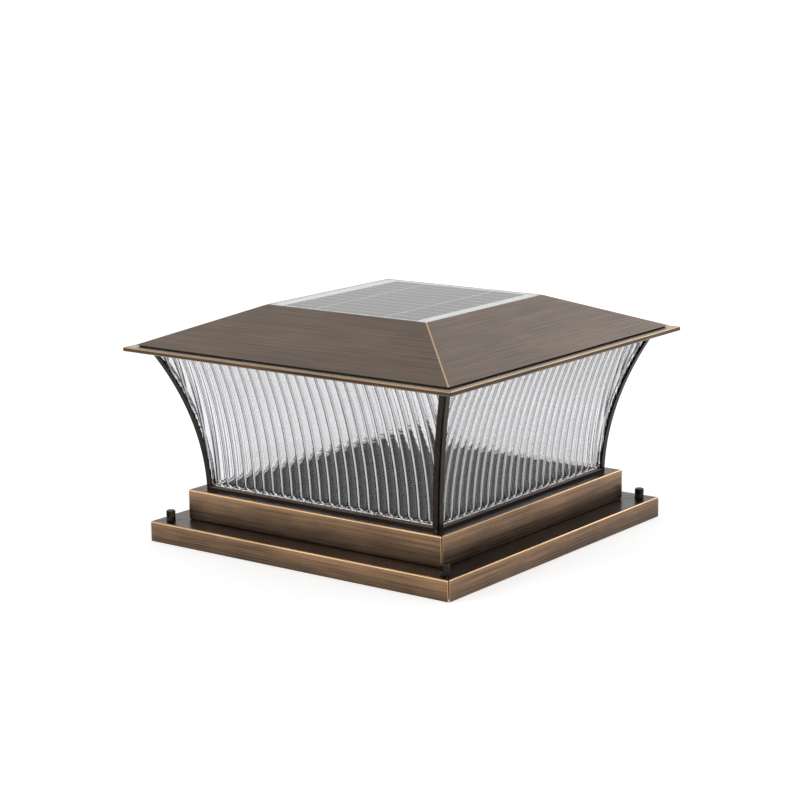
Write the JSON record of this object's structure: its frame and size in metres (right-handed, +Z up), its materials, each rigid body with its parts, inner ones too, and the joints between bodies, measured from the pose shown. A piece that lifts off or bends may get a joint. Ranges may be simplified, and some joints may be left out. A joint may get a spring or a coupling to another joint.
{
  "type": "solar pillar light",
  "caption": "Square solar light for a gate pillar: stepped bronze base with thumb screws, flared clear sides with flutes, and a low pyramid roof with a solar panel.",
  "frame": {"origin": "middle of the base, on the face that stands on the pillar", "axes": "+Z up, -Y the front side (the left face in the picture), +X the right side"},
  "size_m": [0.3234, 0.3234, 0.1916],
  "materials": {
    "bronze": "brushed, antique bronze plating, bare copper at the edges",
    "acrylic": "clear fluted acrylic",
    "floor_steel": "satin dark grey",
    "white_steel": "white, satin",
    "zinc_steel": "zinc plated",
    "black_rubber": "matt",
    "white_laminate": "white, matt",
    "silicon": "dark grey-blue silicon",
    "tinned_copper": "tinned",
    "clear_glass": "clear",
    "lamp_yellow": "phosphor under clear resin",
    "battery_sleeve": "shrink sleeve",
    "black_plastic": "moulded",
    "board_green": "solder resist",
    "red_plastic": "moulded",
    "black_brass": "blackened, knurled",
    "red_pvc": "wire insulation"
  },
  "bodies": {
    "mount": {"mounting_cross": "zinc_steel", "screw_standoffs": "zinc_steel"},
    "lamp": {"battery_cells": "battery_sleeve", "battery_tray": "black_plastic", "board_parts": "black_plastic", "ceiling_plate": "white_steel", "cell_ribbons": "tinned_copper", "control_board": "board_green", "corner_plates": "zinc_steel", "corner_post_back_left": "bronze", "corner_post_back_right": "bronze", "corner_post_front_left": "bronze", "corner_post_front_right": "bronze", "eave_back": "bronze", "eave_front": "bronze", "eave_left": "bronze", "eave_right": "bronze", "floor_plate": "floor_steel", "floor_screws": "zinc_steel", "fluted_panel_back": "acrylic", "fluted_panel_front": "acrylic", "fluted_panel_left": "acrylic", "fluted_panel_right": "acrylic", "lead_black": "black_rubber", "lead_grommets": "black_rubber", "lead_red": "red_pvc", "light_boards": "white_laminate", "light_chips": "lamp_yellow", "lower_step_back": "bronze", "lower_step_front": "bronze", "lower_step_left": "bronze", "lower_step_right": "bronze", "panel_backing": "white_laminate", "roof_nuts": "zinc_steel", "roof_screws": "zinc_steel", "roof_seal": "black_rubber", "roof_side_back": "bronze", "roof_side_front": "bronze", "roof_side_left": "bronze", "roof_side_right": "bronze", "sill_rail_back": "bronze", "sill_rail_front": "bronze", "sill_rail_left": "bronze", "sill_rail_right": "bronze", "solar_cells": "silicon", "solar_glass": "clear_glass", "switch_body": "black_plastic", "upper_step_back": "bronze", "upper_step_front": "bronze", "upper_step_left": "bronze", "upper_step_right": "bronze"},
    "power_button": {"switch_button": "red_plastic"},
    "collar_front_right": {"screw_collar_front_right": "black_rubber"},
    "screw_front_right": {"thumb_screw_front_right": "black_brass"},
    "collar_back_right": {"screw_collar_back_right": "black_rubber"},
    "screw_back_right": {"thumb_screw_back_right": "black_brass"},
    "collar_back_left": {"screw_collar_back_left": "black_rubber"},
    "screw_back_left": {"thumb_screw_back_left": "black_brass"},
    "collar_front_left": {"screw_collar_front_left": "black_rubber"},
    "screw_front_left": {"thumb_screw_front_left": "black_brass"}
  },
  "joints": [
    {"name": "lamp_lift", "type": "slide", "parent": "mount", "child": "lamp", "axis": [0, 0, 1], "range_m": [0, 0.06]},
    {"name": "button_press", "type": "slide", "parent": "lamp", "child": "power_button", "axis": [0, 0, 1], "range_m": [0, 0.002], "stiffness_N_per_m": 300, "springref_m": -0.001},
    {"name": "screw_rise_front_right", "type": "slide", "parent": "lamp", "child": "collar_front_right", "axis": [0, 0, 1], "range_m": [0, 0.008]},
    {"name": "screw_turn_front_right", "type": "hinge", "parent": "collar_front_right", "child": "screw_front_right", "pos_m": [0.138, -0.138, 0.02], "axis": [0, 0, 1], "range_deg": [0, 3602]},
    {"name": "screw_rise_back_right", "type": "slide", "parent": "lamp", "child": "collar_back_right", "axis": [0, 0, 1], "range_m": [0, 0.008]},
    {"name": "screw_turn_back_right", "type": "hinge", "parent": "collar_back_right", "child": "screw_back_right", "pos_m": [0.138, 0.138, 0.02], "axis": [0, 0, 1], "range_deg": [0, 3602]},
    {"name": "screw_rise_back_left", "type": "slide", "parent": "lamp", "child": "collar_back_left", "axis": [0, 0, 1], "range_m": [0, 0.008]},
    {"name": "screw_turn_back_left", "type": "hinge", "parent": "collar_back_left", "child": "screw_back_left", "pos_m": [-0.138, 0.138, 0.02], "axis": [0, 0, 1], "range_deg": [0, 3602]},
    {"name": "screw_rise_front_left", "type": "slide", "parent": "lamp", "child": "collar_front_left", "axis": [0, 0, 1], "range_m": [0, 0.008]},
    {"name": "screw_turn_front_left", "type": "hinge", "parent": "collar_front_left", "child": "screw_front_left", "pos_m": [-0.138, -0.138, 0.02], "axis": [0, 0, 1], "range_deg": [0, 3602]}
  ],
  "couplings": [
    {"joint": "screw_turn_front_right", "follows": "screw_rise_front_right", "rad_per_m": 7854},
    {"joint": "screw_turn_back_right", "follows": "screw_rise_back_right", "rad_per_m": 7854},
    {"joint": "screw_turn_back_left", "follows": "screw_rise_back_left", "rad_per_m": 7854},
    {"joint": "screw_turn_front_left", "follows": "screw_rise_front_left", "rad_per_m": 7854}
  ]
}
